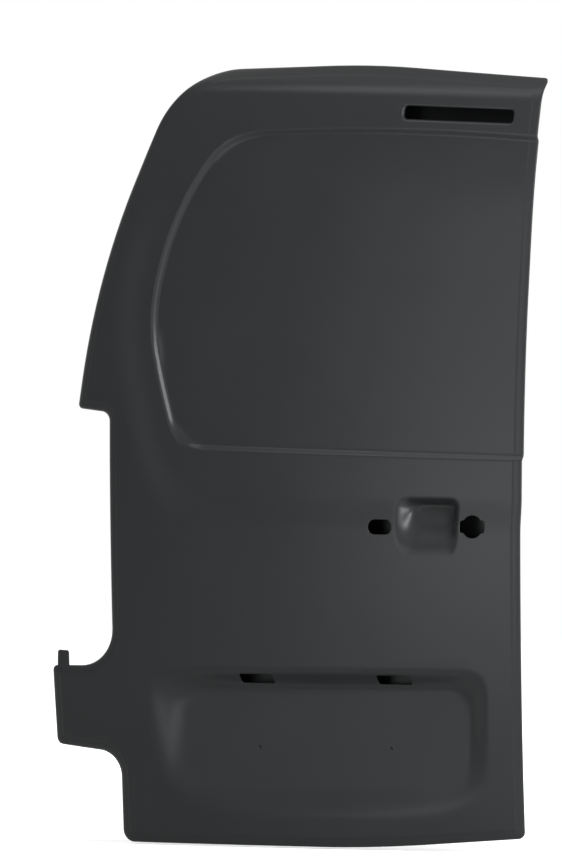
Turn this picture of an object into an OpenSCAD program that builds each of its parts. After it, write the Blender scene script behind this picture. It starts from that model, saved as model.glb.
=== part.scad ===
// Left rear wing door of a small panel van: a bare pressed-steel shell with a blanked window.
// The outside faces -Y, the closing edge is at +X and the top is +Z.
// The origin is on the face of the upper hinge pad. All sizes are in millimetres.

/* [Door] */
// Thickness of the outer sheet
sheet_t = 0.8; // [0.7:0.1:1.2]
// Width from the closing edge to the lower left edge
door_w = 706; // [680:1:740]
// Height from the bottom corner to the roof flange at the closing edge
door_h = 1212; // [1190:1:1240]
// Rise of the roof flange in the middle of the top edge
top_rise = 16; // [8:1:22]
// Depth of the shell from the outer sheet to the inner face
shell_d = 58; // [50:1:66]
// Radius of the roll into the roof flange
roof_r = 48; // [40:1:52]

/* [Lamp cut-out] */
// Height of the lower end of the tail lamp cut-out
cut_z0 = 260; // [245:1:280]
// Height of the upper end of the tail lamp cut-out
cut_z1 = 669; // [655:1:690]
// Reach of the hinge tab past the lower left edge
tab_out = 127; // [110:1:135]
// Height of the lower edge of the hinge tab
tab_z0 = 134; // [120:1:150]

/* [Window] */
// Height of the sill of the blanked window
sill_z = 604; // [592:1:616]
// Distance of the top line of the blanked window below the top of the door
win_drop = 81; // [78:1:96]
// Depth of the window recess
win_d = 8; // [4:1:12]
// Width of the sloped wall round the window recess
win_wall = 14; // [10:1:20]

/* [Belt crease] */
// Height of the crease under the window
belt_z = 509; // [500:1:520]
// Depth that the sheet falls back above the crease
belt_d = 6; // [3:0.5:8]

/* [Plate recess] */
// Height of the lower edge of the number plate recess
plate_z0 = 22; // [14:1:30]
// Height of the upper edge of the number plate recess
plate_z1 = 268; // [262:1:276]
// Depth of the plate recess at the top of its closing end
plate_d = 24; // [18:1:28]
// Width of the sloped walls round the plate recess
plate_wall = 38; // [28:1:42]

/* [Handle] */
// Height of the middle of the handle bowl and its fixing holes
handle_z = 497; // [490:1:504]
// Width of the handle bowl
bowl_w = 110; // [100:1:114]
// Height of the handle bowl
bowl_h = 96; // [86:1:104]
// Depth of the handle bowl
bowl_d = 26; // [18:1:32]

/* [Slots] */
// Length of the slot for the high brake lamp
lamp_slot_l = 188; // [170:1:200]
// Height of the slot for the high brake lamp
lamp_slot_h = 21; // [16:1:24]
// Length of each number plate lamp slot
plate_slot_l = 58; // [46:1:66]
// Height of each number plate lamp slot
plate_slot_h = 15; // [10:1:17]

/* [Fixings] */
// Thickness of the hinge reinforcements
hinge_t = 2; // [1.5:0.5:3]
// Diameter of the hinge bolt holes
hinge_hole = 11; // [9:0.5:13]
// Distance between the upper and lower hinge bolts
hinge_pitch = 56; // [48:1:60]
// Diameter of the latch screw holes
latch_hole = 7; // [6:0.5:8]
// Diameter of the circle of the latch screws
latch_pcd = 38; // [36:1:40]

/* [Hidden] */
$fn = 32;
crown_x = -110;
crown_z = 480;
hinge_z = 757;
roll_down = 38;
win_top = door_h - win_drop;
e = 0.4;

// Smooth forms used by the sheets
function ramp(d, w) = d <= 0 ? 0 : d >= w ? 1 : pow(d / w, 2) * (3 - 2 * d / w);
function smin(a, b, k) = min(a, b) - pow(max(k - abs(a - b), 0), 2) / (4 * k);
function mix(a, b, t) = a + (b - a) * t;
function plan(x) = let (w = crown_x - x) 1.459e-4 * w * w + 7.84e-11 * pow(w, 4);
function profile(z) = let (d = z - crown_z) 9.83e-5 * d * d + (d > 0 ? 1.524e-7 * d * d * d : 0);
function bow(x) = top_rise * (1 - pow(min(1, abs(x / (0.442 * door_w) + 1)), 2));

// The roof roll: an arc from the lean of the door to a steep flange
lean = atan(0.36);
steep = 55;
arc_z = roof_r * (sin(steep) - sin(lean));
arc_y = roof_r * (cos(lean) - cos(steep));
function roll(dz) = dz <= 0 ? 0
    : dz < arc_z ? roof_r * (cos(lean) - cos(asin(sin(lean) + dz / roof_r)))
    : arc_y + (dz - arc_z) * tan(steep);
function base(x, z) = let (zr = door_h + 0.3 * bow(x) - roll_down)
    plan(x) + profile(min(z, zr)) + roll(z - zr);

// The upper hinge sits behind the corner above the lamp cut-out, in the middle of the side wall
hinge_x = -door_w - 56;
hinge_y = round(base(hinge_x, hinge_z) + 29);

// Insets from the edges of the pressed forms. The hinge side of the window is an arc and a straight line
win_r = 484.5;
win_c = [win_r - door_w + 50, 795.6];
function win_arc(x, z) = win_r - norm([x - win_c.x, z - win_c.y]);
function win_in(x, z) = smin(min(win_top - 1.378e-4 * pow(x + 241, 2) - z, z - sill_z + 0.011 * x),
    smin(win_arc(x, z), (x + door_w - 292.4 + 0.3133 * z) * 0.954, 24), 30);
function belt_in(x, z) = smin(smin(z - belt_z, (x + door_w - 12 - 0.27 * (720 - z)) * 0.965, 90),
    win_arc(x, z) + 50, 30);
plate_x0 = -door_w + 52;
plate_x1 = -54;
function plate_in(x, z) = smin(smin(x - plate_x0, plate_x1 - x, 10),
    smin(0.7 * (z - plate_z0), plate_z1 + 0.012 * (x + 378) - z, 10), 60);
function plate_y(x, z) = let (t = (-90 - x) / (door_w - 146))
    plate_d + 5 + 40 * t + (z - plate_z1) * (0.03 - 0.055 * t);
bowl_x = -158.5;
bowl_l = bowl_x - bowl_w / 2;
bowl_r = bowl_x + bowl_w / 2;
function bowl_in(x, z) = smin(smin(0.4 * (x - bowl_l), bowl_r - x, 12),
    smin(0.5 * (z - handle_z + bowl_h / 2), handle_z + bowl_h / 2 - z, 12), 16);
function skin_y(x, z) = let (b = base(x, z), p = ramp(plate_in(x, z), plate_wall))
    mix(b, max(b, plate_y(x, z)), p)
    + belt_d * ramp(belt_in(x, z) + 18, 52) * ramp(1080 - z, 200)
    + win_d * ramp(win_in(x, z), win_wall)
    + bowl_d * ramp(bowl_in(x, z), 15);
function inner_y(x, z) = 0.85 * plan(x) + profile(min(z, door_h - 70)) + shell_d
    + 0.36 * max(0, z - door_h + 70) * 0.9;

// The door outline from the bottom right corner: x, z, radius, arc steps, side steps, edge drop
function outline() = [
    [0, -1, 12, 3, 18, 1],
    [0, door_h - 46, 1, 0, 4, 1],
    [0, door_h, 8, 2, 4, 1],
    [-0.442 * door_w, door_h + top_rise, 1500, 2, 3, 1],
    [74 - door_w, door_h - 2, 150, 7, 3, 3],
    [-door_w - 50, cut_z1 + 217, 1500, 4, 2, 6],
    [-door_w - 79.5, cut_z1 + 3, 7, 2, 1, 6],
    [-door_w - 20, cut_z1 - 2, 16, 3, 4, 6],
    [-door_w - 13, cut_z0 + 1, 60, 6, 1, 6],
    [-door_w - tab_out, cut_z0 - 1, 8, 2, 1, 4],
    [-door_w - tab_out + 6, tab_z0 - 1, 12, 3, 1, 4],
    [-door_w - 2, tab_z0 - 12, 42, 5, 1, 6],
    [-door_w, -21, 20, 4, 7, 3],
    [-260, -21, 2500, 3, 3, 2]];

// The opening of the window in the inner panel, corner by corner the same way
function pane() = [
    [-62, sill_z + 44, 40, 4, 5, 0],
    [-62, win_top - 44, 40, 4, 4, 0],
    [186 - door_w, win_top - 50, 60, 4, 2, 0],
    [94 - door_w, 900, 260, 4, 1, 0],
    [106 - door_w, 740, 160, 4, 1, 0],
    [186 - door_w, sill_z + 44, 60, 4, 5, 0]];

// One closed ring of points, the outline moved inwards by d: x, z, edge drop
function unit(v) = v / norm(v);
function turn(p, a) = [p.x * cos(a) - p.y * sin(a), p.x * sin(a) + p.y * cos(a)];
function arc_pts(c, u, v, d, least) = let (
    a = atan2(u.x * v.y - u.y * v.x, u * v),
    s = a == 0 ? 1 : sign(a),
    nu = [-u.y, u.x],
    nv = [-v.y, v.x],
    q = [c[0], c[1]] + (nu + nv) * d / (1 + nu * nv),
    r = s > 0 ? max(c[2] - d, least) : c[2] + d,
    o = q - u * r * tan(abs(a) / 2) + nu * r * s)
    [for (k = [0 : c[3]]) o + turn(-nu * r * s, a * k / max(1, c[3]))];
function ring(o, d, least = 0.6) = let (
    n = len(o),
    dir = [for (i = [0 : n - 1]) let (p = o[i], q = o[(i + 1) % n]) unit([q[0] - p[0], q[1] - p[1]])],
    arcs = [for (i = [0 : n - 1]) arc_pts(o[i], dir[(i + n - 1) % n], dir[i], d, least)])
    [for (i = [0 : n - 1]) let (a = arcs[i], b = arcs[(i + 1) % n], m = o[i][4], q = o[(i + 1) % n])
        each concat([for (p = a) [p.x, p.y, o[i][5]]],
            m < 2 ? [] : [for (k = [1 : m - 1]) let (p = mix(a[len(a) - 1], b[0], k / m))
                [p.x, p.y, mix(o[i][5], q[5], k / m)]])];

// A closed band of sheet that follows the outline. Each step holds inset, share of the inner face, height
function edge_fall(d) = d < 5 ? 1 : d < 10 ? 1 - 0.12 * (d - 5) : max(0, 0.4 - 0.08 * (d - 10));
function band_y(p, s) = mix(skin_y(p.x, p.y) + p.z * edge_fall(s[0]), inner_y(p.x, p.y), s[1]) + s[2];
module band(o, steps) {
    rings = [for (s = steps) let (r = ring(o, s[0])) [for (p = r) [p.x, band_y(p, s), p.y]]];
    n = len(rings[0]);
    m = len(rings);
    polyhedron([for (r = rings) each r],
        [for (j = [0 : m - 1], i = [0 : n - 1]) let (a = j * n + i, b = j * n + (i + 1) % n,
            c = ((j + 1) % m) * n + (i + 1) % n, f = ((j + 1) % m) * n + i)
            each steps[(j + 1) % m][0] < steps[j][0] ? [[a, b, c], [a, c, f]] : [[a, b, f], [b, c, f]]],
        convexity = 10);
}

// A sheet between two grids of points, the second behind the first
module slab(front, back) {
    m = len(front);
    n = len(front[0]);
    s = m * n;
    function quad(a, b, c, f) = [[a, b, c], [a, c, f]];
    polyhedron(concat([for (r = front) each r], [for (r = back) each r]),
        concat(
            [for (j = [0 : m - 2], i = [0 : n - 2]) let (k = j * n + i) each quad(k, k + n, k + n + 1, k + 1)],
            [for (j = [0 : m - 2], i = [0 : n - 2]) let (k = s + j * n + i) each quad(k, k + 1, k + n + 1, k + n)],
            [for (i = [0 : n - 2]) each quad(i, i + 1, s + i + 1, s + i)],
            [for (i = [0 : n - 2]) let (k = (m - 1) * n + i) each quad(k + 1, k, s + k, s + k + 1)],
            [for (j = [0 : m - 2]) let (k = j * n) each quad(k + n, k, s + k, s + k + n)],
            [for (j = [0 : m - 2]) let (k = j * n + n - 1) each quad(k, k + n, s + k + n, s + k)]),
        convexity = 10);
}

// Places along a line: stops and how many steps lie between them
function places(stops, counts) = concat([stops[0]],
    [for (i = [0 : len(counts) - 1], k = [1 : counts[i]]) mix(stops[i], stops[i + 1], k / counts[i])]);

// The left wall of the window and of the plate recess, which the grid of the skin follows
function wall_x(z) = let (c = min(max(z, sill_z + 30), win_top - 40),
    w = max(win_c.x - sqrt(win_r * win_r - pow(c - win_c.y, 2)), 292.4 - door_w - 0.3133 * c))
    mix(plate_x0, w, ramp(z - plate_z1, sill_z - plate_z1));
function skin_cols(z) = let (w = mix(plate_wall, win_wall, ramp(z - plate_z1, 200)))
    places([-door_w - tab_out - 17, wall_x(z), wall_x(z) + w, bowl_l, bowl_l + 38,
        bowl_r - 16, bowl_r, plate_x1 - plate_wall, plate_x1, 10],
        [4, 3, 7, 3, 1, 3, 1, 3, 2]);
skin_rows = places([-45, plate_z0, plate_z0 + 54, plate_z1 - plate_wall, plate_z1 + 2,
    handle_z - bowl_h / 2, handle_z - bowl_h / 2 + 30, handle_z + bowl_h / 2 - 16, handle_z + bowl_h / 2,
    sill_z, sill_z + win_wall, win_top - win_wall - 6, win_top, door_h - roll_down, door_h - roll_down + arc_z,
    door_h + 20],
    [2, 3, 3, 6, 4, 3, 2, 3, 3, 3, 9, 3, 2, 4, 2]);
function lift(x, z) = z + 0.3 * bow(x) * min(1, max(0, (z - 1000) / (door_h - roll_down - 1000)));
function normal(x, z) = let (dx = (skin_y(x + 0.5, z) - skin_y(x - 0.5, z)),
    dz = (skin_y(x, z + 0.5) - skin_y(x, z - 0.5))) unit([-dx, 1, -dz]);
module skin_sheet() {
    at = [for (r = skin_rows) [for (x = skin_cols(r)) [x, lift(x, r)]]];
    front = [for (r = at) [for (p = r) [p.x, skin_y(p.x, p.y), p.y]]];
    back = [for (r = at) [for (p = r) [p.x, skin_y(p.x, p.y), p.y] + normal(p.x, p.y) * sheet_t]];
    slab(front, back);
}

// A column through the door along Y with a flat outline in x and z
module through(y0 = -60, y1 = 300) {
    translate([0, y1, 0]) rotate([90, 0, 0]) linear_extrude(y1 - y0) children();
}
module outline_area(d) {
    polygon([for (p = ring([for (c = outline()) [c[0], c[1], c[2] + 4, c[3] + 1, 1, 0]], d, 2.5)) [p.x, p.y]]);
}
module slot_area(l, h, r) {
    hull() for (sx = [-1, 1], sz = [-1, 1]) translate([sx * (l / 2 - r), sz * (h / 2 - r)]) circle(r, $fn = 12);
}

// Steps of the rim of the skin: the rolled edge and the hem folded round the inner flange
rim_steps = [[24, 0, -0.2], [15, 0, 0], [10, 0, 0], [5, 0, 0], [1.2, 0, 0], [0, 0, 1.4], [1.2, 0, 2.8],
    [5, 0, 2.8], [10, 0, 2.8], [12, 0, 2.8], [12, 0, 2], [10, 0, 2], [5, 0, 2], [1.5, 0, 2],
    [1.5, 0, 0.8], [5, 0, 0.8], [10, 0, 0.8], [15, 0, 0.8], [24, 0, 0.4]];
lamp_slot_x = -137.5;
lamp_slot_z = door_h - 58.5;
plate_slots = [[-461, plate_z1 - 21], [-221.5, plate_z1 - 18.5]];
handle_hole_x = -239;
lock_hole_x = -81;
module lamp_slot(grow = 0) {
    translate([lamp_slot_x, lamp_slot_z]) rotate(-1.2) slot_area(lamp_slot_l + grow, lamp_slot_h + grow, 6);
}
module plate_slots(grow = 0) {
    for (p = plate_slots) translate(p) slot_area(plate_slot_l + grow, plate_slot_h + grow, 4);
}
module skin_holes() {
    through() {
        lamp_slot();
        translate([handle_hole_x, handle_z - 1.5]) slot_area(40, 24, 11);
        translate([lock_hole_x, handle_z + 1.5]) circle(17.5, $fn = 24);
        translate([lock_hole_x, handle_z + 1.5]) slot_area(42, 20, 5);
    }
    through(y1 = 90) plate_slots();
}

// The small upright lug on top of the hinge tab
module tab_lug() {
    x = -door_w - tab_out + 9;
    grid = function (h) [for (z = [cut_z0 - 10, cut_z0 + 23])
        [for (u = [x, x + 20]) [u, skin_y(u, z) + 4 + h, z]]];
    slab(grid(0.5), grid(2.3));
}
module outer_skin() color("#3c3e41") at_origin() {
    difference() {
        union() {
            intersection() {
                skin_sheet();
                through() outline_area(20);
            }
            band(outline(), rim_steps);
            tab_lug();
        }
        skin_holes();
    }
}

module at_origin() {
    translate([-hinge_x, -hinge_y, -hinge_z]) children();
}

// The inner panel: flange in the hem, drafted wall, inner face and the turned-in window opening
tray_steps = [[40, 1, 0], [30, 1, 0], [24, 1, -6], [20, 0, 1], [15, 0, 1], [10, 0, 1], [5, 0, 1], [2.2, 0, 1],
    [2.2, 0, 1.8], [5, 0, 1.8], [10, 0, 1.8], [15, 0, 1.8], [19.2, 0, 1.8], [23.2, 1, -5.4], [29.4, 1, 0.8],
    [40, 1, 0.5]];
pane_steps = [[16, 0, 4.5], [1, 0, 4.5], [-8, 1, -2], [-12, 1, 0], [-28, 1, 0],
    [-28, 1, 0.5], [-11.6, 1, 0.8], [-7.4, 1, -1.6], [1.6, 0, 5.3], [16, 0, 5.3]];
function field(x, z, cx, cz, w, h) = ramp(smin(w / 2 - abs(x - cx), h / 2 - abs(z - cz), 30), 12);
field_l = 56 - door_w;
field_r = -75;
low_field = [35, 225];
mid_field = [325, 525];
function panel_y(x, z) = inner_y(x, z)
    - 7 * field(x, z, (field_l + field_r) / 2, 130, field_r - field_l, low_field[1] - low_field[0])
    - 7 * field(x, z, (field_l - 190) / 2, 425, -190 - field_l, mid_field[1] - mid_field[0]);
module inner_sheet() {
    zs = places([-30, low_field[0], low_field[0] + 12, low_field[1] - 12, low_field[1], mid_field[0],
        mid_field[0] + 12, mid_field[1] - 12, mid_field[1], door_h - 70, door_h + 10],
        [1, 2, 4, 2, 2, 2, 4, 2, 13, 3]);
    xs = places([-door_w - tab_out - 12, field_l, field_l + 12, -202, -190, field_r - 12, field_r, 10],
        [4, 2, 8, 2, 2, 2, 2]);
    slab([for (z = zs) [for (x = xs) [x, panel_y(x, z) + 0.35, z]]],
         [for (z = zs) [for (x = xs) [x, panel_y(x, z) + 1.15, z]]]);
}
module pane_area(d) {
    polygon([for (p = ring([for (c = pane()) [c[0], c[1], c[2] + 4, c[3] + 1, 1, 0]], d, 2.5)) [p.x, p.y]]);
}
module access_holes() {
    translate([158 - door_w, 425]) slot_area(176, 140, 40);
    translate([344 - door_w, 425]) slot_area(130, 140, 40);
    translate([-118, 395]) slot_area(100, 60, 25);
    translate([206 - door_w, 130]) slot_area(240, 110, 35);
    translate([-210, 130]) slot_area(200, 110, 35);
    translate([66 - door_w, 610]) slot_area(50, 70, 20);
    for (x = [106 - door_w, 306 - door_w, -200]) translate([x, 568]) slot_area(40, 14, 6);
}

// A pressed boss that stands out of the hinge side wall: closed at its face, open to the inside
module boss(x, y, z, w, h, d) {
    difference() {
        translate([x, y - w / 2, z - h / 2]) cube([d, w, h]);
        translate([x + 0.8, y - w / 2 + 0.8, z - h / 2 + 0.8]) cube([d, w - 1.6, h - 1.6]);
    }
}
module boss_room(x, y, z, w, h, d) {
    translate([x - 12, y - w / 2 + 0.4, z - h / 2 + 0.4]) cube([d + 12, w - 0.8, h - 0.8]);
}
pad_w = 28;
up_h = hinge_pitch + 40;
low_h = hinge_pitch + 20;
low_x = -door_w - tab_out + 12;
low_z = (tab_z0 + cut_z0) / 2 - 1;
low_y = round(base(low_x, low_z) + 24.3);
latch_x = -17.2;
latch_y = 30;
check_x = -door_w;
check_z = 470;
check_y = round(base(check_x, check_z) + 22.3);
module inner_panel() color("#46484b") at_origin() {
    difference() {
        union() {
            difference() {
                union() {
                    intersection() {
                        inner_sheet();
                        through() outline_area(34.6);
                    }
                    band(outline(), tray_steps);
                }
                through() pane_area(-20);
                boss_room(hinge_x + hinge_t + 0.1, hinge_y, hinge_z, pad_w + 4, up_h + 8, 14);
                boss_room(low_x + hinge_t + 0.1, low_y, low_z, pad_w + 4, low_h + 6, 18);
                translate([latch_x - 14, latch_y - 17, handle_z - 30]) cube([30, 34, 60]);
                translate([check_x - 8, check_y - 11, check_z - 26]) cube([24, 22, 52]);
            }
            band(pane(), pane_steps);
            boss(hinge_x + hinge_t + 0.1, hinge_y, hinge_z, pad_w + 4, up_h + 8, 14);
            boss(low_x + hinge_t + 0.1, low_y, low_z, pad_w + 4, low_h + 6, 18);
        }
        through() access_holes();
        for (s = [-1, 1]) {
            for (p = [[hinge_x, hinge_y, hinge_z], [low_x, low_y, low_z]]) translate(p + [0, 0, s * hinge_pitch / 2])
                rotate([0, 90, 0]) cylinder(d = hinge_hole + 2, h = 12);
        }
    }
}

// Flat pads on the hinge side and the tapping plates behind them
module drilled(x, w, h, t, d, pitch) {
    difference() {
        translate([x, -w / 2, -h / 2]) cube([t, w, h]);
        for (s = [-1, 1]) translate([x - 1, 0, s * pitch / 2]) rotate([0, 90, 0]) cylinder(d = d, h = t + 2);
    }
}
low_at = [low_x - hinge_x, low_y - hinge_y, low_z - hinge_z];
module upper_hinge_pad() color("#55585c") drilled(0, pad_w, up_h, hinge_t, hinge_hole, hinge_pitch);
module lower_hinge_pad() color("#55585c") translate(low_at)
    drilled(0, pad_w, low_h, hinge_t, hinge_hole, hinge_pitch);
module upper_hinge_tapping_plate() color("#6a6d70")
    drilled(hinge_t + 1, pad_w - 2, up_h - 6, 5, hinge_hole - 1, hinge_pitch);
module lower_hinge_tapping_plate() color("#6a6d70") translate(low_at)
    drilled(hinge_t + 1, pad_w - 2, low_h - 6, 5, hinge_hole - 1, hinge_pitch);

// The latch plate closes the opening in the closing side wall, with its claw mouth and three screw holes
module latch_plate() color("#55585c") at_origin() translate([latch_x, latch_y, handle_z]) {
    difference() {
        translate([-2.5, -22, -38]) cube([2.5, 44, 76]);
        translate([-4, -4, -4]) cube([8, 30, 16]);
        for (a = [0, 120, 240]) rotate([a, 0, 0]) translate([-4, 0, latch_pcd / 2])
            rotate([0, 90, 0]) cylinder(d = latch_hole, h = 8);
    }
}
module check_strap_plate() color("#55585c") at_origin() translate([check_x, check_y, check_z]) {
    difference() {
        translate([0, -15, -34]) cube([2.5, 30, 68]);
        translate([-1, -6, -9]) cube([5, 12, 18]);
        for (s = [-1, 1]) translate([-1, 0, s * 20]) rotate([0, 90, 0]) cylinder(d = 7, h = 5);
    }
}

// A plate that follows the back of the skin between two heights behind it
function plain_y(x, z) = skin_y(x, z) - bowl_d * ramp(bowl_in(x, z), 15);
module backing(x0, x1, z0, z1, nx, nz, h0, h1) {
    grid = function (h) [for (j = [0 : nz]) let (z = mix(z0, z1, j / nz))
        [for (i = [0 : nx]) let (x = mix(x0, x1, i / nx)) [x, plain_y(x, z) + h, z]]];
    slab(grid(h0), grid(h1));
}
module handle_reinforcement() color("#55585c") at_origin() {
    difference() {
        backing(-275, -42, handle_z - 62, handle_z + 56, 10, 8, 1.2, 2.4);
        through() {
            translate([bowl_x, handle_z]) slot_area(bowl_w + 4, bowl_h + 6, 20);
            translate([handle_hole_x, handle_z - 1.5]) slot_area(44, 28, 12);
            translate([lock_hole_x, handle_z + 1.5]) circle(d = 33, $fn = 24);
        }
    }
}
module brake_lamp_bracket() color("#55585c") at_origin() {
    difference() {
        backing(lamp_slot_x - 112, lamp_slot_x + 108, lamp_slot_z - 19, lamp_slot_z + 19, 8, 4, 1.2, 2.2);
        through() lamp_slot(6);
    }
}
module plate_lamp_brackets() color("#55585c") at_origin() {
    difference() {
        for (p = plate_slots) backing(p.x - 46, p.x + 46, p.y - 18, p.y + 22, 4, 8, 1.75, 2.75);
        through() plate_slots(5);
    }
}

// A hat-section bar behind the skin. It flattens to a tongue at both ends
bar_gap = 2;
bar_t = 1;
function bar_depth(x, x0, x1, d) = d * ramp(min(x - x0, x1 - x) - 22, 40) + 0.02;
module hat_bar(x0, x1, z, w, d, n) {
    half = function (x) let (f = bar_depth(x, x0, x1, d))
        [[-w / 2, 0], [-w / 2 + 11, 0], [-w / 2 + 17, f], [w / 2 - 17, f], [w / 2 - 11, 0], [w / 2, 0],
         [w / 2, bar_t], [w / 2 - 10.4, bar_t], [w / 2 - 16.4, f + bar_t], [-w / 2 + 16.4, f + bar_t],
         [-w / 2 + 10.4, bar_t], [-w / 2, bar_t]];
    xs = places([x0, x0 + 22, x0 + 62, x1 - 62, x1 - 22, x1], [1, 3, n, 3, 1]);
    m = len(xs);
    k = 12;
    points = [for (x = xs) for (q = half(x)) [x, plain_y(x, z + q.x) + bar_gap + q.y, z + q.x]];
    polyhedron(points, concat(
        [for (j = [0 : m - 2], i = [0 : k - 1]) let (a = j * k + i, b = j * k + (i + 1) % k)
            each i < 6 ? [[a, b, b + k], [a, b + k, a + k]] : [[a, b, a + k], [b, b + k, a + k]]],
        [for (i = [0 : 4]) each [[i + 1, i, 11 - i], [i + 1, 11 - i, 10 - i]]],
        [for (i = [0 : 4]) let (o = (m - 1) * k) each
            [[o + i, o + i + 1, o + 11 - i], [o + i + 1, o + 10 - i, o + 11 - i]]]),
        convexity = 6);
}
bars = [[66 - door_w, -30, sill_z - 26, 48, 18, 8], [31 - door_w, -30, 350, 50, 14, 8],
    [90 - door_w, -44, 945, 50, 14, 8], [74 - door_w, -44, 770, 50, 14, 8]];
module bar(i) {
    b = bars[i];
    at_origin() hat_bar(b[0], b[1], b[2], b[3], b[4], b[5]);
}
module belt_reinforcement() color("#4c4f52") bar(0);
module lower_cross_bar() color("#4c4f52") bar(1);
module upper_window_bar() color("#4c4f52") bar(2);
module lower_window_bar() color("#4c4f52") bar(3);

// Soft pads of mastic between the flanges of the bars and the skin
module mastic_pads() color("#2b2b2b") at_origin() {
    for (b = bars, k = [0 : 4], s = [-1, 1]) {
        x = mix(b[0] + 50, b[1] - 50, k / 4);
        z = b[2] + s * (b[3] / 2 - 6);
        backing(x - 15, x + 15, z - 4, z + 4, 1, 1, sheet_t + 0.35, bar_gap - 0.2);
    }
}

// Sealer bead on the inner flange beside the edge of the hem
sealer_steps = [[16, 0, 1.9], [12.3, 0, 1.9], [12.2, 0, 2.7], [14.2, 0, 3.2], [16, 0, 2.8]];
module seam_sealer() color("#5a5c5e") at_origin() band([for (c = outline()) c], sealer_steps);

outer_skin();
inner_panel();
upper_hinge_pad();
lower_hinge_pad();
upper_hinge_tapping_plate();
lower_hinge_tapping_plate();
latch_plate();
check_strap_plate();
handle_reinforcement();
belt_reinforcement();
lower_cross_bar();
upper_window_bar();
lower_window_bar();
mastic_pads();
brake_lamp_bracket();
plate_lamp_brackets();
seam_sealer();
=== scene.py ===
"""A bare rear wing door of a small van, as a dealer's spare part stands on the floor: pressed steel sheet
in dark grey electro-coat, with a blanked window. Lengths are in millimetres until a mesh is finished."""
import math

import bmesh
import bpy
import numpy as np
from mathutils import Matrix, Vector


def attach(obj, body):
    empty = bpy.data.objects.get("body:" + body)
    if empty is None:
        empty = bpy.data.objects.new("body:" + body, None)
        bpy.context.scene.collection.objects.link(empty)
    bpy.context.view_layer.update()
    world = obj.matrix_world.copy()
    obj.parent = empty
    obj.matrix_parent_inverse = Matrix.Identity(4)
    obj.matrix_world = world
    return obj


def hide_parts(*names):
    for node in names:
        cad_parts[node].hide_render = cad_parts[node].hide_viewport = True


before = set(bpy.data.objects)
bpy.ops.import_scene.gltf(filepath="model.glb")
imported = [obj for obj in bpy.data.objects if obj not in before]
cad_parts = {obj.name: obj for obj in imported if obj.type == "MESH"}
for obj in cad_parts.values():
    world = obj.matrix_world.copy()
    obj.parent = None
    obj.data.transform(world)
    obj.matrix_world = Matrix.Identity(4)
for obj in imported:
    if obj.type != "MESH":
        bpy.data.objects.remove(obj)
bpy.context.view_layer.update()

# Outer skin, the shape of the whole sheet.
# One deep-drawn panel of 0.8 mm steel. It sweeps back to the hinge side, leans in above the belt and rolls
# over into the roof flange. The pressed forms are added to that smooth sheet one by one.
SHEET = 0.8
DOOR_W, DOOR_H, TOP_RISE, ROOF_R = 706, 1212, 16, 48
CUT_LOW, CUT_HIGH, TAB_OUT, TAB_LOW = 260, 669, 127, 134
HINGE = Vector((-762, 116, 757))
LEAN, STEEP = math.atan(0.36), math.radians(55)
ROLL_Z = ROOF_R * (math.sin(STEEP) - math.sin(LEAN))
ROLL_Y = ROOF_R * (math.cos(LEAN) - math.cos(STEEP))


def ramp(d, w):
    t = min(1.0, max(0.0, d / w))
    return t * t * (3 - 2 * t)


def blend(a, b, r):
    """The smaller of two insets, with the corner between them rounded."""
    return min(a, b) - max(r - abs(a - b), 0) ** 2 / (4 * r)


def mix(a, b, t):
    return a + (b - a) * t


def sweep(x):
    w = -110 - x
    return 1.459e-4 * w * w + 7.84e-11 * w**4


def side_profile(z):
    d = z - 480
    return 9.83e-5 * d * d + (1.524e-7 * d**3 if d > 0 else 0)


def roof_bow(x):
    return TOP_RISE * (1 - min(1, abs(x + 312) / 312) ** 2)


def roof_roll(dz):
    if dz <= 0:
        return 0
    if dz < ROLL_Z:
        return ROOF_R * (math.cos(LEAN) - math.cos(math.asin(math.sin(LEAN) + dz / ROOF_R)))
    return ROLL_Y + (dz - ROLL_Z) * math.tan(STEEP)


def smooth_sheet(x, z):
    roll_at = DOOR_H + 0.3 * roof_bow(x) - 38
    return sweep(x) + side_profile(min(z, roll_at)) + roof_roll(z - roll_at)


SILL, WIN_TOP, WIN_DEPTH, WIN_WALL = 604, 1131, 8, 11
ARC_X, ARC_Z, ARC_R = -171.5, 795.6, 484.5
FOOT_X, FOOT_LEAN = 292.4 - DOOR_W, 0.3133
FOOT_SHARE = 0.954


def window_arc(x, z):
    return ARC_R - math.hypot(x - ARC_X, z - ARC_Z)


def window_inset(x, z):
    across = min(WIN_TOP - 1.378e-4 * (x + 241) ** 2 - z, z - SILL + 0.011 * x)
    return blend(across, blend(window_arc(x, z), (x - FOOT_X + FOOT_LEAN * z) * FOOT_SHARE, 24), 45)


BELT_LOW, BELT_STEP, BELT_WALL = 509, 6, 55


def belt_inset(x, z):
    low = blend(z - BELT_LOW, (x + DOOR_W - 12 - 0.27 * (720 - z)) * 0.965, 90)
    return blend(low, window_arc(x, z) + 50, 30)


PLATE_L, PLATE_R, PLATE_LOW, PLATE_HIGH, PLATE_WALL = -654, -54, 22, 268, 38
PLATE_TILT = 0.012


def plate_inset(x, z):
    level = blend(0.7 * (z - PLATE_LOW), PLATE_HIGH + PLATE_TILT * (x + 378) - z, 10)
    return blend(blend(0.65 * (x - PLATE_L), PLATE_R - x, 10), level, 45)


def plate_floor(x, z):
    t = (-90 - x) / 560
    return 29 + 40 * t + (z - PLATE_HIGH) * (0.052 - 0.014 * t)


BOWL_L, BOWL_R, BOWL_LOW, BOWL_HIGH, BOWL_DEPTH, BOWL_WALL = -213.5, -103.5, 449, 545, 26, 16


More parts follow.
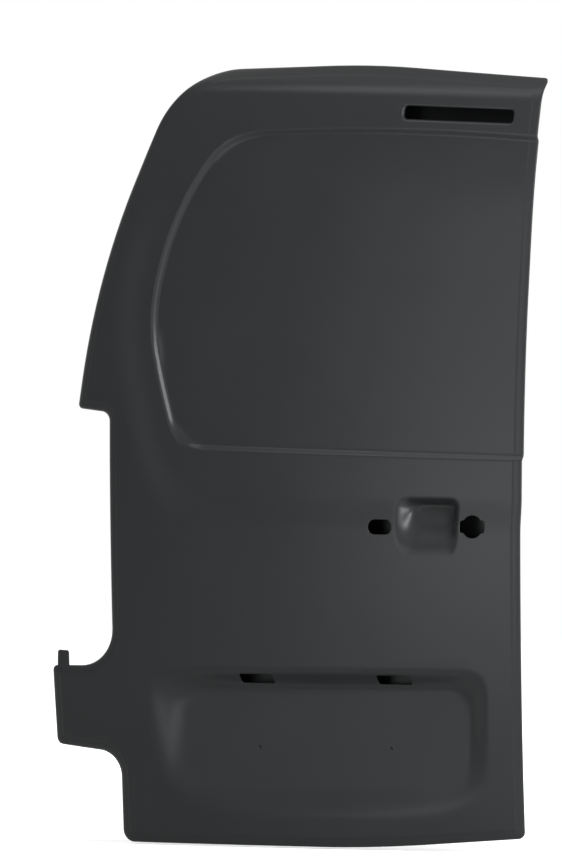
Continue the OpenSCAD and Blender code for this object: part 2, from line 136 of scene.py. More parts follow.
def bowl_share(x, z):
    """Steep walls with round corners, softer at the bottom, and a floor that falls away upwards."""
    across = blend(0.6 * (x - BOWL_L), BOWL_R - x, 10)
    inset = blend(across, blend(0.3 * (z - BOWL_LOW), BOWL_HIGH - z, 10), BOWL_WALL)
    up = min(1, max(0, (z - BOWL_LOW) / (BOWL_HIGH - BOWL_LOW)))
    return ramp(inset, BOWL_WALL) * (0.5 + 0.5 * up)


def skin_y(x, z):
    y = smooth_sheet(x, z)
    y = mix(y, max(y, plate_floor(x, z)), ramp(plate_inset(x, z), PLATE_WALL))
    y += BELT_STEP * ramp(belt_inset(x, z) + 20, BELT_WALL) * ramp(1080 - z, 200)
    y += WIN_DEPTH * ramp(window_inset(x, z), WIN_WALL)
    return y + BOWL_DEPTH * bowl_share(x, z)


# Outer skin, its outline.
# The blank is trimmed to the door's outline: corners with their radii, the tail lamp cut-out on the hinge
# side and the tab that carries the lower hinge. Each corner holds x, z, radius, steps and edge drop.
DOOR_OUTLINE = [
    (0, -1, 12, 8, 2), (0, DOOR_H - 46, 1, 0, 2), (0, DOOR_H, 8, 6, 2), (-312, DOOR_H + TOP_RISE, 1500, 6, 2),
    (-632, DOOR_H - 2, 150, 24, 5), (-756, 886, 1500, 14, 9), (-785.5, CUT_HIGH + 3, 7, 7, 9),
    (-DOOR_W - 20, CUT_HIGH - 2, 16, 8, 8), (-DOOR_W - 13, CUT_LOW + 1, 60, 14, 7),
    (-DOOR_W - TAB_OUT, CUT_LOW - 1, 8, 7, 5), (-DOOR_W - TAB_OUT + 6, TAB_LOW - 1, 12, 8, 5),
    (-DOOR_W - 2, TAB_LOW - 12, 42, 12, 7), (-DOOR_W, -21, 20, 10, 4), (-260, -21, 2500, 8, 3)]


def rounded(corners, inset, least=4.0):
    """The outline moved inwards, as points (x, z, edge drop). Every inset gives the same number of points."""
    n = len(corners)
    spot = [Vector(c[:2]) for c in corners]
    way = [(spot[(i + 1) % n] - spot[i]).normalized() for i in range(n)]
    points = []
    for i, (x, z, radius, steps, drop) in enumerate(corners):
        u, v = way[i - 1], way[i]
        turn = math.atan2(u.x * v.y - u.y * v.x, u.dot(v))
        side = -1 if turn < 0 else 1
        nu, nv = Vector((-u.y, u.x)), Vector((-v.y, v.x))
        r = max(radius - inset, least) if side > 0 else radius + inset
        q = spot[i] + (nu + nv) * inset / (1 + nu.dot(nv))
        centre = q - u * r * math.tan(abs(turn) / 2) + nu * r * side
        arm = -nu * r * side
        for k in range(steps + 1):
            c, s = math.cos(turn * k / max(1, steps)), math.sin(turn * k / max(1, steps))
            p = centre + Vector((arm.x * c - arm.y * s, arm.x * s + arm.y * c))
            points.append((p.x, p.y, drop))
    return points


def inside(points, xs, zs):
    """Which of the places lie inside a closed line."""
    hit = np.zeros(len(xs), bool)
    for a, b in zip(points, points[1:] + points[:1]):
        if a[1] != b[1]:
            cross = (zs > a[1]) != (zs > b[1])
            hit ^= cross & (xs < a[0] + (zs - a[1]) * (b[0] - a[0]) / (b[1] - a[1]))
    return hit


def trim(bm, points, keep_inside):
    """Cuts a flat grid in x and z along a closed line and deletes one side of it."""
    mid = {f: f.calc_center_median() for f in bm.faces}
    for a, b in zip(points, points[1:] + points[:1]):
        a, b = Vector((a[0], 0, a[1])), Vector((b[0], 0, b[1]))
        if (b - a).length < 1e-4:
            continue
        lo = (min(a.x, b.x) - 7, min(a.z, b.z) - 7)
        hi = (max(a.x, b.x) + 7, max(a.z, b.z) + 7)
        faces = [f for f, c in mid.items() if lo[0] < c.x < hi[0] and lo[1] < c.z < hi[1]]
        faces = [f for f in faces if f.is_valid]
        geom = [e for f in faces for e in f.edges] + [v for f in faces for v in f.verts]
        across = (b - a).cross(Vector((0, 1, 0)))
        cut = bmesh.ops.bisect_plane(
            bm, geom=list(dict.fromkeys(geom)) + faces, plane_co=a, plane_no=across, dist=1e-4)
        for f in faces:
            mid.pop(f, None)
        for f in cut["geom"]:
            if isinstance(f, bmesh.types.BMFace) and f.is_valid:
                mid[f] = f.calc_center_median()
    faces = list(bm.faces)
    centres = np.array([f.calc_center_median()[:] for f in faces])
    hit = inside(points, centres[:, 0], centres[:, 2])
    bmesh.ops.delete(bm, geom=[f for f, h in zip(faces, hit) if h != keep_inside], context="FACES")


def edge_rows(bm, corners, start, rows, height, least=4.0):
    """Extrudes the cut edge along the outline row by row. Each row holds inset and height over the sheet."""
    line = rounded(corners, start, least)
    n = len(line)
    at = {}
    loop = []
    for e in bm.edges:
        if not e.is_boundary:
            continue
        place = []
        for v in e.verts:
            best = None
            for i in range(n):
                a, b = line[i], line[(i + 1) % n]
                dx, dz = b[0] - a[0], b[1] - a[1]
                size = dx * dx + dz * dz
                t = 0 if size < 1e-9 else min(1, max(0, ((v.co.x - a[0]) * dx + (v.co.z - a[1]) * dz) / size))
                off = math.hypot(v.co.x - a[0] - dx * t, v.co.z - a[1] - dz * t)
                if best is None or off < best[0] - 1e-7:
                    best = (off, i, t)
            place.append(best)
        if max(p[0] for p in place) < 0.05:
            loop.append(e)
            for v, p in zip(e.verts, place):
                at[v] = p[1:]
    for inset, h in rows:
        line = rounded(corners, inset, least)
        new = bmesh.ops.extrude_edge_only(bm, edges=loop)["geom"]
        fresh = {v for v in new if isinstance(v, bmesh.types.BMVert)}
        moved = {}
        for v in fresh:
            ends = [e.other_vert(v) for e in v.link_edges]
            old = next(end for end in ends if end in at and end not in fresh)
            i, t = moved[v] = at[old]
            a, b = line[i], line[(i + 1) % n]
            x, z = mix(a[0], b[0], t), mix(a[1], b[1], t)
            v.co = (x, height(x, z, mix(a[2], b[2], t), inset) + h, z)
        at = moved
        loop = [e for e in new if isinstance(e, bmesh.types.BMEdge) and all(v in fresh for v in e.verts)]
    return loop


EDGE_ROLL, HEM_WIDTH, HEM_PRINT = 18, 15.5, 0.8


def edge_fall(d):
    """The roll towards the edge: a quarter of an ellipse, steepest at the fold."""
    return 1 - math.sqrt(1 - (1 - min(1, d / EDGE_ROLL)) ** 2)


def skin_edge(x, z, drop, d):
    """The height of the sheet near its edge, with the hem behind it just printing through."""
    return skin_y(x, z) + drop * edge_fall(d) + HEM_PRINT * ramp(HEM_WIDTH - d, 3)


# Outer skin, the mesh.
# A grid that is finer along the walls of the pressed forms is trimmed to the outline, pressed to shape,
# and gets its rolled edge and the hem that is folded round the inner flange.
def stations(stops, counts):
    out = [stops[0]]
    for a, b, n in zip(stops, stops[1:], counts):
        out += [mix(a, b, k / n) for k in range(1, n + 1)]
    return out


def recess_wall(z):
    c = min(max(z, SILL + 30), WIN_TOP - 40)
    wall = max(ARC_X - math.sqrt(ARC_R**2 - (c - ARC_Z) ** 2), FOOT_X - FOOT_LEAN * c)
    return mix(PLATE_L, wall, ramp(z - PLATE_HIGH, SILL - PLATE_HIGH))


ROWS = stations(
    [-45, PLATE_LOW - 2, PLATE_LOW + 54, PLATE_HIGH - PLATE_WALL, PLATE_HIGH + 4, 445, 482, 526, 549,
     SILL - 3, SILL + 18, SILL + 54, WIN_TOP - 42, WIN_TOP + 3, 1146, 1166,
     DOOR_H - 40, DOOR_H - 10, DOOR_H + 20],
    [8, 12, 16, 14, 14, 14, 10, 12, 8, 10, 8, 32, 22, 2, 8, 2, 14, 8])


def columns(z):
    w = recess_wall(z)
    wide = mix(PLATE_WALL, WIN_WALL, ramp(z - PLATE_HIGH, 200))
    return stations([-850, w - 4, w + wide + 3, -262, -215, -174, -121, -101, -56 - PLATE_WALL, -52, 10],
                    [22, 14, 28, 8, 14, 12, 12, 4, 14, 12])


LAMP_SLOT = [(-231, 1145, 6, 8, 0), (-44, 1141.5, 6, 8, 0), (-44, 1162.5, 6, 8, 0), (-231, 1166, 6, 8, 0)]


def rounded_slot(x, z, length, height, r):
    signs = ((-1, -1), (1, -1), (1, 1), (-1, 1))
    return [(x + sx * length / 2, z + sz * height / 2, r, 8, 0) for sx, sz in signs]


def lock_hole(x, z):
    """A round hole with a shallow slot across it."""
    quarter = [(21, -10, 5, 6, 0), (14.4, -10, 1.3, 3, 0), (0, -30.6, 16.5, 14, 0), (-14.4, -10, 1.3, 3, 0),
               (-21, -10, 5, 6, 0)]
    half = quarter[::-1]
    return [(x + c[0], z + c[1], *c[2:]) for c in half] + [(x + c[0], z - c[1], *c[2:]) for c in quarter]


# How the sheet turns in at a hole, as rows of inset and height: a sheared edge or a rolled lip.
FOLD = [(-0.4, 0.2), (0, 0.8), (0, 1.6)]
ROLL = [(-4 + 4 * math.sin(math.radians(a)), 4 - 4 * math.cos(math.radians(a))) for a in (18, 36, 54, 72, 90)]
HOLES = [
    (LAMP_SLOT, 4.0, ROLL + [(0, 8)]),
    (rounded_slot(-239, 495.5, 40, 24, 11), 1.0, FOLD),
    (lock_hole(-81, 498.5), 1.0, FOLD),
    (rounded_slot(-461, 247, 58, 15, 4), 1.0, FOLD + [(0, 3)]),
    (rounded_slot(-221.5, 249.5, 58, 15, 4), 1.0, FOLD + [(0, 3)]),
    (rounded_slot(-459.3, 136.6, 5, 5, 2.45), 0.6, FOLD),
    (rounded_slot(-229.9, 138.9, 5, 5, 2.45), 0.6, FOLD)]
BLIND_HOLES = HOLES[-2:]

bm = bmesh.new()
across = len(columns(0)) - 1
bmesh.ops.create_grid(bm, x_segments=across, y_segments=len(ROWS) - 1, size=1)
for v in bm.verts:
    row = ROWS[round((v.co.y + 1) / 2 * (len(ROWS) - 1))]
    x = columns(row)[round((v.co.x + 1) / 2 * across)]
    v.co = (x, 0, row + 0.3 * roof_bow(x) * min(1, max(0, (row - 1000) / (DOOR_H - 1038))))
bmesh.ops.recalc_face_normals(bm, faces=bm.faces)
trim(bm, rounded(DOOR_OUTLINE, EDGE_ROLL), True)
for corners, lip, rows in HOLES:
    trim(bm, rounded(corners, -lip, 0.5), False)
for v in bm.verts:
    v.co.y = skin_y(v.co.x, v.co.z)
edge_rows(bm, DOOR_OUTLINE, EDGE_ROLL,
          [(16, 0), (15, 0), (14, 0), (13, 0), (12, 0), (9.5, 0), (7.5, 0), (5.5, 0), (4, 0), (2.8, 0),
           (1.8, 0), (0.9, 0.1), (0.3, 0.5), (0, 1.4), (0.3, 2.3), (0.9, 2.7), (1.8, 2.8), (4, 2.8), (8, 2.8),
           (12, 2.8)], skin_edge)
for hole in HOLES:
    corners, lip, rows = hole
    rim = edge_rows(bm, corners, -lip, rows, lambda x, z, drop, d: skin_y(x, z), 0.5)
    if hole in BLIND_HOLES:
        bmesh.ops.holes_fill(bm, edges=rim, sides=0)
bmesh.ops.recalc_face_normals(bm, faces=bm.faces)


def finished(bm, name):
    """Moves a millimetre mesh to its place in the frame and makes it an object that rides on the door."""
    for v in bm.verts:
        v.co = (v.co - HINGE) / 1000
    mesh = bpy.data.meshes.new(name)
    bm.to_mesh(mesh)
    bm.free()
    mesh.shade_smooth()
    piece = bpy.data.objects.new(name, mesh)
    bpy.context.scene.collection.objects.link(piece)
    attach(piece, "root")
    return piece


probe = next(f for f in bm.faces if (f.calc_center_median() - Vector((-400, 5, 400))).length < 30)
if probe.normal.y > 0:
    bmesh.ops.reverse_faces(bm, faces=bm.faces)
skin = finished(bm, "pressed_outer_skin")
thickness = skin.modifiers.new("sheet", "SOLIDIFY")
thickness.thickness, thickness.offset = SHEET / 1000, -1
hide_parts("outer_skin")


# Electro-coat primer: a baked epoxy dip coat on phosphated steel, dark grey, with a satin surface.
# The dip leaves a fine orange peel a few millimetres across and slow clouds in its gloss.
def linear(code):
    """An sRGB hex colour as linear values."""
    parts = [int(code[i : i + 2], 16) / 255 for i in (1, 3, 5)]
    return [p / 12.92 if p < 0.04045 else ((p + 0.055) / 1.055) ** 2.4 for p in parts] + [1]


def add(tree, kind, settings=None, **inputs):
    """Adds a node, sets its properties and sets or links its inputs, by name or as i and a number."""
    node = tree.nodes.new(kind)
    for key, value in (settings or {}).items():
        setattr(node, key, value)
    for key, value in inputs.items():
        numbered = key[0] == "i" and key[1:].isdigit()
        socket = node.inputs[int(key[1:]) if numbered else key.replace("_", " ")]
        if isinstance(value, bpy.types.NodeSocket):
            tree.links.new(value, socket)
        else:
            socket.default_value = value
    return node


def material(name):
    made = bpy.data.materials.new(name)
    made.use_nodes = True
    made.node_tree.nodes.clear()
    return made, made.node_tree


primer, t = material("electro_coat_primer")
place = add(t, "ShaderNodeTexCoord").outputs["Object"]
clouds = add(t, "ShaderNodeTexNoise", Vector=place, Scale=1 / 0.16, Detail=3.0, Roughness=0.55)
peel = add(t, "ShaderNodeTexNoise", Vector=place, Scale=1 / 0.004, Detail=2.0, Roughness=0.5)
grain = add(t, "ShaderNodeTexNoise", Vector=place, Scale=1 / 0.0012, Detail=1.0, Roughness=0.6)
tone = add(t, "ShaderNodeMix", {"data_type": "RGBA"}, Factor=clouds.outputs["Fac"],
           i6=linear("#222324"), i7=linear("#272829"))
gloss = add(t, "ShaderNodeMapRange", Value=clouds.outputs["Fac"], i3=0.27, i4=0.33)
bump = add(t, "ShaderNodeBump", Height=peel.outputs["Fac"], Strength=0.10, Distance=0.0002)
fine = add(t, "ShaderNodeBump", Height=grain.outputs["Fac"], Strength=0.08, Distance=0.0001,
           Normal=bump.outputs["Normal"])
surface = add(t, "ShaderNodeBsdfPrincipled", Base_Color=tone.outputs[2], Roughness=gloss.outputs[0],
              IOR=1.52, Specular_IOR_Level=0.1, Normal=fine.outputs["Normal"])
add(t, "ShaderNodeOutputMaterial", Surface=surface.outputs[0])
skin.data.materials.append(primer)

# Tab lug.
# A small upright tongue of 1.3 mm steel that stands behind the top edge of the hinge tab. Its use isn't
# known; it may be a stop.
bm = bmesh.new()
bmesh.ops.create_grid(bm, x_segments=8, y_segments=12, size=1)
for v in bm.verts:
    v.co = (-812.5 + 12 * v.co.x, 0, 268 + 17 * v.co.y)
bmesh.ops.recalc_face_normals(bm, faces=bm.faces)
LUG_BEHIND = 5.4
LUG_OUTLINE = [(-823, 254, 1, 2, 0), (-801, 254, 1, 2, 0), (-801.5, 283.5, 4, 6, 0), (-822, 284, 4, 6, 0)]
trim(bm, rounded(LUG_OUTLINE, 0, 0.5), True)
for v in bm.verts:
    v.co.y = skin_y(v.co.x, v.co.z) + LUG_BEHIND
lug = finished(bm, "tab_lug")
lug.modifiers.new("sheet", "SOLIDIFY").thickness = -0.0013
bevel = lug.modifiers.new("worn_edges", "BEVEL")
bevel.width, bevel.segments = 0.0004, 2
lug.data.materials.append(primer)


# Inner panel.
# A second pressing of 0.8 mm steel, hemmed into the skin all round. A drafted wall carries its face 58 mm
# behind the skin, the window opening turns back in, and the access holes have a folded lip. Its layout is
# the usual one, because the photograph shows only the outside.
PANEL_DEPTH, PANEL_BEND, BEAD_DEPTH = 58, DOOR_H - 70, 7
BEADS = [(-362.5, 130, 575, 190), (-420, 425, 460, 200)]
WINDOW_OPENING = [(-62, SILL + 44, 40, 8, 0), (-62, WIN_TOP - 44, 40, 8, 0), (-520, WIN_TOP - 50, 60, 10, 0),
                  (-612, 900, 260, 10, 0), (-600, 740, 160, 8, 0), (-520, SILL + 44, 60, 10, 0)]
ACCESS_HOLES = [(-548, 425, 176, 140, 40), (-362, 425, 130, 140, 40), (-118, 395, 100, 60, 25),
                (-500, 130, 240, 110, 35), (-210, 130, 200, 110, 35), (-640, 610, 50, 70, 20),
                (-600, 568, 40, 14, 6), (-400, 568, 40, 14, 6), (-200, 568, 40, 14, 6)]


def panel_y(x, z):
    face = 0.85 * sweep(x) + side_profile(min(z, PANEL_BEND)) + PANEL_DEPTH + 0.324 * max(0, z - PANEL_BEND)
    for cx, cz, w, h in BEADS:
        face -= BEAD_DEPTH * ramp(blend(w / 2 - abs(x - cx), h / 2 - abs(z - cz), 30), 12)
    return face + 1.15


def outer_wall(x, z, drop, d):
    return mix(skin_edge(x, z, drop, d) + 1.8, panel_y(x, z), min(1, max(0, (d - 20) / 4)))


def opening_wall(x, z, drop, d):
    return mix(skin_y(x, z) + 5.3, panel_y(x, z), min(1, max(0, (1 - d) / 9)))


bm = bmesh.new()
PANEL_X = stations([-838, -650, -638, -202, -190, -87, -75, 10], [20, 4, 46, 4, 11, 4, 9])
PANEL_Z = stations([-30, 35, 47, 213, 225, 325, 337, 513, 525, PANEL_BEND, 1240],
                   [7, 4, 18, 4, 11, 4, 19, 4, 64, 12])
wide, high = len(PANEL_X) - 1, len(PANEL_Z) - 1
bmesh.ops.create_grid(bm, x_segments=wide, y_segments=high, size=1)
for v in bm.verts:
    v.co = (PANEL_X[round((v.co.x + 1) / 2 * wide)], 0, PANEL_Z[round((v.co.y + 1) / 2 * high)])
bmesh.ops.recalc_face_normals(bm, faces=bm.faces)
trim(bm, rounded(DOOR_OUTLINE, 30), True)
trim(bm, rounded(WINDOW_OPENING, -14), False)
for x, z, w, h, r in ACCESS_HOLES:
    trim(bm, rounded(rounded_slot(x, z, w, h, r), -4), False)
for v in bm.verts:
    v.co.y = panel_y(v.co.x, v.co.z)
edge_rows(bm, DOOR_OUTLINE, 30,
          [(28, -0.3), (26.5, -1.1), (25.2, -2.7), (24.5, -4.6), (24.1, -6.8), (23.3, 0), (22.9, 0),
           (22.5, 0), (22.1, 0), (21.7, 0), (21.3, 0), (20.9, 0), (20.5, 0), (20.2, 0.2), (19.3, 0.7),
           (18.2, 0.15), (16.5, 0), (12, 0), (7, 0), (2.2, 0)], outer_wall)
edge_rows(bm, WINDOW_OPENING, -14,
          [(-12.3, -0.3), (-10.6, -1.2), (-9.3, -2.8), (-8.6, -4.8), (-8.1, -7), (-6.5, -3), (-5, -1),
           (-3, 0), (-1, 0), (0.3, 0.4), (1.3, 0.6), (2.5, 0.1), (8, 0), (16, 0)], opening_wall)
for x, z, w, h, r in ACCESS_HOLES:
    edge_rows(bm, rounded_slot(x, z, w, h, r), -4,
              [(-2.6, -0.3), (-1.2, -1.1), (-0.3, -2.4), (0, -4), (0, -6)],
              lambda x, z, drop, d: panel_y(x, z))

# Behind the latch and the check strap the wall is open. Each cut holds the middle of its box and its reach.
LATCH_CUT = (Vector((-20, 30, 497)), Vector((9, 17, 30)))
STRAP_CUT = (Vector((-702, 84, 470)), Vector((22, 11, 26)))
for centre, reach in (LATCH_CUT, STRAP_CUT):
    gone = [f for f in bm.faces if all(abs(a) < b for a, b in zip(f.calc_center_median() - centre, reach))]
    bmesh.ops.delete(bm, geom=gone, context="FACES")

# The pressed bosses under the hinge pads: x, y, z of the middle of the face, width, height and depth.
HINGE_BOSSES = [(-759.9, 116, 757, 32, 104, 14), (-818.9, 126, 196, 32, 82, 18)]
BOLT_SPACING = 56
for x, y, z, w, h, depth in HINGE_BOSSES:
    face = bmesh.new()
    bmesh.ops.create_grid(face, x_segments=8, y_segments=26, size=1)
    for v in face.verts:
        v.co = (v.co.x * w / 2, 0, v.co.y * h / 2)
    bmesh.ops.recalc_face_normals(face, faces=face.faces)
    boss = rounded_slot(0, 0, w, h, 5)
    trim(face, rounded(boss, 3), True)
    for side in (-1, 1):
        trim(face, rounded(rounded_slot(0, side * BOLT_SPACING / 2, 13, 13, 6.4), 0, 0.5), False)
    edge_rows(face, boss, 3, [(2, 0.2), (1.1, 0.7), (0.4, 1.6), (0, 3), (0, 8), (0, depth)],
              lambda x, z, drop, d: 0, 0.5)
    for v in face.verts:
        v.co = (x + v.co.y, y + v.co.x, z + v.co.z)
    part = bpy.data.meshes.new("hinge_boss")
    face.to_mesh(part)
    face.free()
    bm.from_mesh(part)
    bpy.data.meshes.remove(part)
bmesh.ops.recalc_face_normals(bm, faces=bm.faces)
inner = finished(bm, "pressed_inner_panel")
inner.modifiers.new("sheet", "SOLIDIFY").thickness = SHEET / 1000
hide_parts("inner_panel")
inner.data.materials.append(primer)


# Hat-section bars.
# Roll-formed stiffeners of 1 mm steel behind the skin. Their flanges lie on pads of mastic and their ends
# flatten to tongues that are spot-welded to the inner panel.
TONGUE, BAR_FLANGE, MASTIC_GAP = 22, 9.5, 3
BARS = {"belt_reinforcement": (-640, -30, SILL - 26, 48, 18), "lower_cross_bar": (-675, -30, 350, 50, 14),
        "upper_window_bar": (-616, -44, 945, 50, 14), "lower_window_bar": (-632, -44, 770, 50, 14)}


def face_inwards(bm):
    """Turns the sheet's normals to the inside of the van, so that its thickness grows that way."""
    bmesh.ops.recalc_face_normals(bm, faces=bm.faces)
    if sum(f.normal.y for f in bm.faces) < 0:
        bmesh.ops.reverse_faces(bm, faces=bm.faces)


for name, (start, end, z, w, depth) in BARS.items():
    bm = bmesh.new()
    bmesh.ops.create_grid(bm, x_segments=80, y_segments=24, size=1)
    for v in bm.verts:
        x, q = mix(start, end, (v.co.x + 1) / 2), v.co.y * w / 2
        rise = depth * ramp(min(x - start, end - x) - TONGUE, 40) * ramp(w / 2 - BAR_FLANGE - abs(q), 8)
        plain = skin_y(x, z + q) - BOWL_DEPTH * bowl_share(x, z + q)
        v.co = (x, plain + MASTIC_GAP + rise, z + q)
    face_inwards(bm)
    bar = finished(bm, "formed_" + name)
    bar.modifiers.new("sheet", "SOLIDIFY").thickness = 0.001
    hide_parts(name)
    bar.data.materials.append(primer)


# Handle reinforcement.
# A flat plate of 1.2 mm steel behind the handle, cut round the bowl and opened behind both fixing holes.
bm = bmesh.new()
bmesh.ops.create_grid(bm, x_segments=34, y_segments=18, size=1)
for v in bm.verts:
    v.co = (-158.5 + 120 * v.co.x, 0, 494 + 62 * v.co.y)
bmesh.ops.recalc_face_normals(bm, faces=bm.faces)
trim(bm, rounded(rounded_slot(-158.5, 494, 233, 118, 10), 0), True)
for opening in (rounded_slot(-158.5, 497, 114, 102, 20), rounded_slot(-239, 495.5, 44, 28, 12),
                rounded_slot(-78.5, 498.5, 51, 38, 16)):
    trim(bm, rounded(opening, 0), False)
for v in bm.verts:
    v.co.y = skin_y(v.co.x, v.co.z) - BOWL_DEPTH * bowl_share(v.co.x, v.co.z) + 2.4
face_inwards(bm)
plate = finished(bm, "cut_handle_reinforcement")
plate.modifiers.new("sheet", "SOLIDIFY").thickness = 0.0012
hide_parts("handle_reinforcement")
plate.data.materials.append(primer)


# Pads, plates and brackets inside the shell.
# Cut from flat steel and spot-welded before the dip, so they carry the same primer.
for name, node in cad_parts.items():
    if name not in ("mastic_pads", "seam_sealer"):
        node.data.materials.clear()
        node.data.materials.append(primer)

# Mastic pads.
# Dabs of a soft grey polymer, laid by a nozzle before the dip and baked with it. The surface is matt, with
# the fine ripple of something squeezed out. The sealer bead is of the same stuff.
sealer, t = material("baked_sealer")
place = add(t, "ShaderNodeTexCoord").outputs["Object"]
ripple = add(t, "ShaderNodeTexNoise", Vector=place, Scale=1 / 0.006, Detail=3.0)
tone = add(t, "ShaderNodeMix", {"data_type": "RGBA"}, Factor=ripple.outputs["Fac"],
           i6=linear("#4a4b4c"), i7=linear("#565758"))
bump = add(t, "ShaderNodeBump", Height=ripple.outputs["Fac"], Strength=0.4, Distance=0.0006)
surface = add(t, "ShaderNodeBsdfPrincipled", Base_Color=tone.outputs[2], Roughness=0.7,
              Normal=bump.outputs["Normal"])
add(t, "ShaderNodeOutputMaterial", Surface=surface.outputs[0])
for name in ("mastic_pads", "seam_sealer"):
    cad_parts[name].data.materials.clear()
    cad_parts[name].data.materials.append(sealer)

# Sealer bead.
# Laid by a nozzle over the edge of the hem, so its height wanders a little along the door.
BEAD = [(11.2, 2.8), (11.7, 3.5), (12.9, 4.1), (14.3, 4.1), (15.7, 3.5), (16.7, 2.6), (17.3, 1.85)]
bm = bmesh.new()
first = rounded(DOOR_OUTLINE, BEAD[0][0])
parts = [max(1, math.ceil(math.dist(a[:2], b[:2]) / 9)) for a, b in zip(first, first[1:] + first[:1])]
bmesh.ops.create_circle(bm, segments=sum(parts), radius=1)
edges, ring = list(bm.edges), sorted(bm.verts, key=lambda v: math.atan2(v.co.y, v.co.x))
for inset, height in BEAD:
    if inset != BEAD[0][0]:
        new = bmesh.ops.extrude_edge_only(bm, edges=edges)["geom"]
        edges = [e for e in new if isinstance(e, bmesh.types.BMEdge) and len(e.link_faces) == 1]
        fresh = {v for v in new if isinstance(v, bmesh.types.BMVert)}
        ring = [next(e.other_vert(v) for e in v.link_edges if e.other_vert(v) in fresh) for v in ring]
    line = rounded(DOOR_OUTLINE, inset)
    at = [[mix(p, q, k / n) for p, q in zip(a, b)]
          for a, b, n in zip(line, line[1:] + line[:1], parts) for k in range(n)]
    for i, (v, (x, z, drop)) in enumerate(zip(ring, at)):
        wander = 0.35 * (height - 2.2) * math.sin(i * 0.7) * math.sin(i * 0.23)
        v.co = (x, skin_edge(x, z, drop, inset) + height + max(-0.4, wander) * 0.5, z)
bmesh.ops.recalc_face_normals(bm, faces=bm.faces)
bead = finished(bm, "sealer_bead")
bead.modifiers.new("body", "SOLIDIFY").thickness = -0.0004
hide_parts("seam_sealer")
bead.data.materials.append(sealer)

# Studio.
# A white floor that turns into the white surround 1.4 to 2.4 m away, and soft boxes that are strongest on
# the closing side. The floor paint is matt, and its own glow, which only the camera and gloss see, makes it
# read as white while it still takes a shadow.
FLOOR_BELOW = 24
floor_z = (-FLOOR_BELOW - HINGE.z) / 1000
bm = bmesh.new()
bmesh.ops.create_grid(bm, x_segments=1, y_segments=1, size=6)
for v in bm.verts:
    v.co.z = floor_z
mesh = bpy.data.meshes.new("studio_floor")
bm.to_mesh(mesh)
bm.free()
floor = bpy.data.objects.new("studio_floor", mesh)
bpy.context.scene.collection.objects.link(floor)
white, t = material("white_floor_paint")


def background_rays(tree):
    """One for the rays that show the background itself: to the camera, in gloss and through glass."""
    path = add(tree, "ShaderNodeLightPath")
    seen = add(tree, "ShaderNodeMath", {"operation": "MAXIMUM"}, i0=path.outputs["Is Camera Ray"],
               i1=path.outputs["Is Glossy Ray"])
    both = add(tree, "ShaderNodeMath", {"operation": "MAXIMUM"}, i0=seen.outputs[0],
               i1=path.outputs["Is Transmission Ray"])
    return both.outputs[0]


paint = add(t, "ShaderNodeBsdfDiffuse", Color=linear("#e6e6e6"))
place = add(t, "ShaderNodeTexCoord")
away = add(t, "ShaderNodeVectorMath", {"operation": "LENGTH"}, i0=place.outputs["Object"])
fade = add(t, "ShaderNodeMapRange", i0=away.outputs["Value"], i1=1.4, i2=2.4, i3=0.45, i4=1.0)
level = add(t, "ShaderNodeMath", {"operation": "MULTIPLY"}, i0=background_rays(t), i1=fade.outputs[0])
glow = add(t, "ShaderNodeEmission", Color=(1, 1, 1, 1), Strength=level.outputs[0])
both = add(t, "ShaderNodeAddShader", i0=paint.outputs[0], i1=glow.outputs[0])
add(t, "ShaderNodeOutputMaterial", Surface=both.outputs[0])
floor.data.materials.append(white)

world = bpy.data.worlds.new("studio")
bpy.context.scene.world = world
world.use_nodes = True
t = world.node_tree
t.nodes.clear()
room = add(t, "ShaderNodeBackground", Color=(1, 1, 1, 1), Strength=0.06)
backdrop = add(t, "ShaderNodeBackground", Color=(1, 1, 1, 1), Strength=1.0)
pick = add(t, "ShaderNodeMixShader", i0=background_rays(t), i1=room.outputs[0], i2=backdrop.outputs[0])
add(t, "ShaderNodeOutputWorld", Surface=pick.outputs[0])


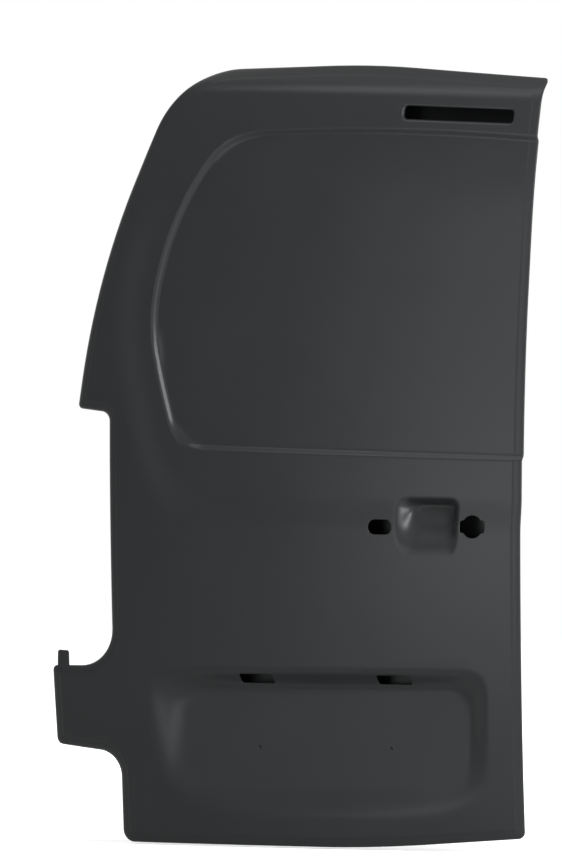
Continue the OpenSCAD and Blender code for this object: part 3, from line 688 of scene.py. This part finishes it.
LAMP_AWAY = 4.2


def lamp(name, azimuth, elevation, size, watts):
    """A soft box at LAMP_AWAY metres from the door, seen at these angles from its middle."""
    light = bpy.data.lights.new(name, "AREA")
    light.shape, light.size, light.size_y, light.energy = "RECTANGLE", size[0], size[1], watts
    a, e = math.radians(azimuth), math.radians(elevation)
    away = Vector((math.sin(a) * math.cos(e), -math.cos(a) * math.cos(e), math.sin(e)))
    made = bpy.data.objects.new(name, light)
    made.location = Vector((0.35, 0, -0.1)) + away * LAMP_AWAY
    made.rotation_euler = away.to_track_quat("Z", "Y").to_euler()
    bpy.context.scene.collection.objects.link(made)


lamp("soft_box_right", 56, 26, (0.8, 0.8), 145)
lamp("soft_box_side", 75, 3, (1.4, 1.2), 166)
lamp("soft_box_front", -10, 12, (1.4, 1.8), 31)
lamp("soft_box_low_front", -12, -8, (1.4, 1.0), 39)
lamp("soft_box_top", 0, 84, (2.4, 1.8), 46)
lamp("soft_box_top_left", -45, 62, (1.4, 1.4), 36)
lamp("soft_box_behind", 150, 30, (2.0, 2.0), 150)

# The camera looks from 20 degrees towards the closing edge and 3 degrees above, without perspective.
azimuth, elevation = math.radians(20), math.radians(3)
MM_PER_PIXEL = 1.6
IMAGE_HIGH = 866
right = Vector((math.cos(azimuth), math.sin(azimuth), 0))
back = Vector((math.sin(azimuth), -math.cos(azimuth), 0)) * math.cos(elevation)
back.z = math.sin(elevation)
up = back.cross(right)
middle = Vector((0, 1.77, 0)) + (right * (281 - 519.5) + up * (839 - IMAGE_HIGH / 2)) * MM_PER_PIXEL
camera_data = bpy.data.cameras.new("studio_camera")
camera_data.type = "ORTHO"
camera_data.ortho_scale = IMAGE_HIGH * MM_PER_PIXEL / 1000
camera = bpy.data.objects.new("studio_camera", camera_data)
camera.location = (middle + back * 6000 - HINGE) / 1000
camera.rotation_euler = back.to_track_quat("Z", "Y").to_euler()
bpy.context.scene.collection.objects.link(camera)
bpy.context.scene.camera = camera
bpy.context.scene.view_settings.view_transform = "Standard"
